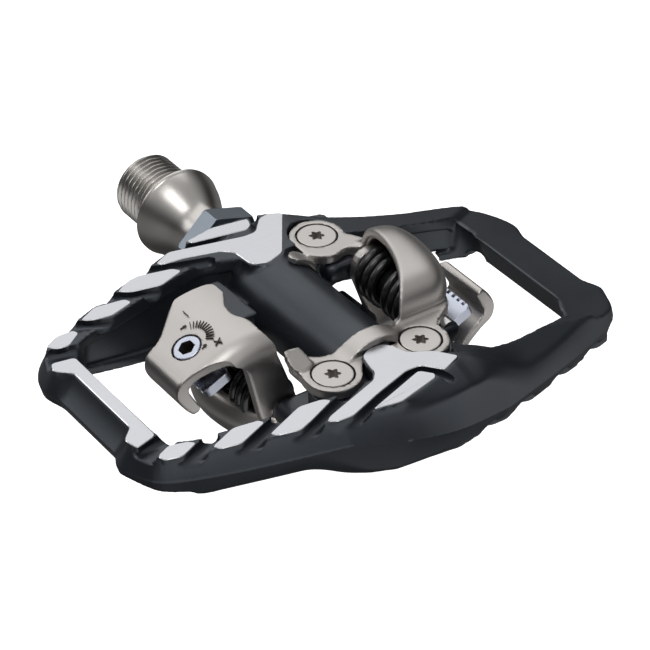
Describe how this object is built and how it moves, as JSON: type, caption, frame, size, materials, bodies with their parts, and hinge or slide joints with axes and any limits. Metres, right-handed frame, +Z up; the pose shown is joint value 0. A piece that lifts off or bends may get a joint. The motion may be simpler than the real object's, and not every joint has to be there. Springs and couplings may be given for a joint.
{
  "type": "clipless pedal",
  "caption": "Two-sided clipless pedal with a wide metal cage, fixed front claws, sprung rear claws and a flanged spindle.",
  "frame": {"origin": "on the spindle axis, at the shoulder that seats on the crank arm", "axes": "+X outboard along the spindle, away from the crank; +Y forward; +Z up through the upper cleat face"},
  "size_m": [0.1017, 0.1086, 0.026],
  "materials": {
    "spindle_steel": "satin polished steel, warm grey",
    "sleeve_alloy": "anodised aluminium, blue grey",
    "seal_rubber": "black rubber",
    "spool_plastic": "black plastic",
    "bearing_steel": "ground steel",
    "body_anodised": "bead-blasted, black anodised aluminium with bright cut faces",
    "claw_steel": "bead-blasted plated steel, warm grey",
    "screw_steel": "satin plated steel",
    "chrome_steel": "bright plated steel",
    "spring_steel": "black oiled spring steel"
  },
  "bodies": {
    "spindle": {"spindle": "spindle_steel", "bearing_cone": "bearing_steel", "cone_washer": "bearing_steel", "cone_lock_nut": "bearing_steel"},
    "pedal_body": {"pedal_body": "body_anodised", "lock_sleeve": "sleeve_alloy", "dust_seal": "seal_rubber", "sleeve_bush": "spool_plastic", "inner_bearing_cup": "bearing_steel", "inner_bearing_balls": "bearing_steel", "outer_bearing_cup": "bearing_steel", "outer_bearing_balls": "bearing_steel", "spacer_tube": "sleeve_alloy", "top_pivot_pin": "bearing_steel", "top_claw_plate": "claw_steel", "top_plate_screws": "screw_steel", "top_spring_spool": "spool_plastic", "top_inboard_spring": "spring_steel", "top_outboard_spring": "spring_steel", "bottom_pivot_pin": "bearing_steel", "bottom_claw_plate": "claw_steel", "bottom_plate_screws": "screw_steel", "bottom_spring_spool": "spool_plastic", "bottom_inboard_spring": "spring_steel", "bottom_outboard_spring": "spring_steel"},
    "top_binding": {"top_binding": "claw_steel"},
    "top_tension_bolt": {"top_tension_bolt": "chrome_steel"},
    "top_tension_plate": {"top_tension_plate": "chrome_steel"},
    "bottom_binding": {"bottom_binding": "claw_steel"},
    "bottom_tension_bolt": {"bottom_tension_bolt": "chrome_steel"},
    "bottom_tension_plate": {"bottom_tension_plate": "chrome_steel"}
  },
  "joints": [
    {"name": "body_spin", "type": "hinge", "parent": "spindle", "child": "pedal_body", "pos_m": [0, 0, 0], "axis": [1, 0, 0], "continuous": true},
    {"name": "top_binding_hinge", "type": "hinge", "parent": "pedal_body", "child": "top_binding", "pos_m": [0.052, -0.017, -0.0043], "axis": [1, 0, 0], "range_deg": [0, 14], "stiffness_Nm_per_rad": 1.5, "springref_deg": -22.92, "deforming": ["top_inboard_spring", "top_outboard_spring"]},
    {"name": "top_bolt_turn", "type": "hinge", "parent": "top_binding", "child": "top_tension_bolt", "pos_m": [0.052, -0.03076, 0.01015], "axis": [0, -0.4226, 0.9063], "range_deg": [-720.5, 720.5]},
    {"name": "top_tension_slide", "type": "slide", "parent": "top_binding", "child": "top_tension_plate", "axis": [0, -0.4226, 0.9063], "range_m": [-0.001, 0.001]},
    {"name": "bottom_binding_hinge", "type": "hinge", "parent": "pedal_body", "child": "bottom_binding", "pos_m": [0.052, 0.017, 0.0043], "axis": [1, 0, 0], "range_deg": [0, 14], "stiffness_Nm_per_rad": 1.5, "springref_deg": -22.92, "deforming": ["bottom_inboard_spring", "bottom_outboard_spring"]},
    {"name": "bottom_bolt_turn", "type": "hinge", "parent": "bottom_binding", "child": "bottom_tension_bolt", "pos_m": [0.052, 0.03076, -0.01015], "axis": [0, 0.4226, -0.9063], "range_deg": [-720.5, 720.5]},
    {"name": "bottom_tension_slide", "type": "slide", "parent": "bottom_binding", "child": "bottom_tension_plate", "axis": [0, 0.4226, -0.9063], "range_m": [-0.001, 0.001]}
  ],
  "couplings": [
    {"joint": "top_bolt_turn", "follows": "top_tension_slide", "rad_per_m": -12566},
    {"joint": "bottom_bolt_turn", "follows": "bottom_tension_slide", "rad_per_m": -12566}
  ]
}
